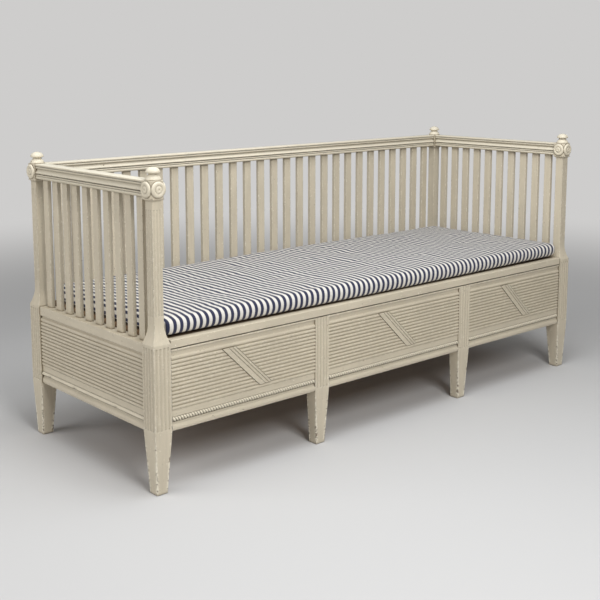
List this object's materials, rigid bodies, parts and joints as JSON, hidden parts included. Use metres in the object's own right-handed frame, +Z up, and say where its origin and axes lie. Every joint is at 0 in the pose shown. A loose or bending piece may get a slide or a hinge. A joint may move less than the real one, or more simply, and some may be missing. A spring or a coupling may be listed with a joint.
{
  "type": "swedish pull out bench bed",
  "caption": "Painted bench with slatted back and ends, reeded front that slides out as a bed, lift-off seat lid and striped mattress.",
  "frame": {"origin": "on the floor under the middle of the bench", "axes": "+X along the bench to the right as seen from its front, -Y the open front, +Z up"},
  "size_m": [2, 0.72, 0.942],
  "materials": {
    "painted_wood": "worn off-white paint on wood, satin",
    "bare_pine": "old unpainted pine, matt",
    "ticking": "navy and off-white striped cotton ticking"
  },
  "bodies": {
    "frame": {"post_front_left": "painted_wood", "post_front_right": "painted_wood", "post_back_left": "painted_wood", "post_back_right": "painted_wood", "finials": "painted_wood", "rosettes": "painted_wood", "top_rail_left": "painted_wood", "slats_left": "painted_wood", "seat_rail_left": "painted_wood", "lower_rail_left": "painted_wood", "panel_left": "painted_wood", "top_rail_right": "painted_wood", "slats_right": "painted_wood", "seat_rail_right": "painted_wood", "lower_rail_right": "painted_wood", "panel_right": "painted_wood", "top_rail_back": "painted_wood", "slats_back": "painted_wood", "seat_rail_back": "painted_wood", "lower_rail_back": "painted_wood", "panel_back": "painted_wood", "bead_left": "painted_wood", "bead_right": "painted_wood", "lid_ledger_left": "bare_pine", "lid_ledger_right": "bare_pine", "lid_ledger_back": "bare_pine", "runner_left": "bare_pine", "runner_right": "bare_pine", "bed_bearer_back": "bare_pine", "fixed_cross_bar": "bare_pine", "bed_slats_fixed": "bare_pine"},
    "pull_out_bed": {"bay_panel_left": "painted_wood", "bay_panel_centre": "painted_wood", "bay_panel_right": "painted_wood", "front_top_rails": "painted_wood", "front_lower_rails": "painted_wood", "rope_mouldings": "painted_wood", "middle_leg_left": "painted_wood", "middle_leg_right": "painted_wood", "front_slat_ledger": "bare_pine", "bed_rear_bar": "bare_pine", "bed_side_left": "bare_pine", "bed_side_right": "bare_pine", "bed_slats_moving": "bare_pine"},
    "seat_lid": {"lid_front_rail": "painted_wood", "lid_boards": "bare_pine", "lid_battens": "bare_pine"},
    "mattress": {"mattress": "ticking"}
  },
  "joints": [
    {"name": "bed_slide", "type": "slide", "parent": "frame", "child": "pull_out_bed", "axis": [0, -1, 0], "range_m": [0, 0.43]},
    {"name": "lid_lift", "type": "slide", "parent": "frame", "child": "seat_lid", "axis": [0, 0, 1], "range_m": [0, 0.55]},
    {"name": "mattress_lift", "type": "slide", "parent": "seat_lid", "child": "mattress", "axis": [0, 0, 1], "range_m": [0, 0.5]}
  ]
}
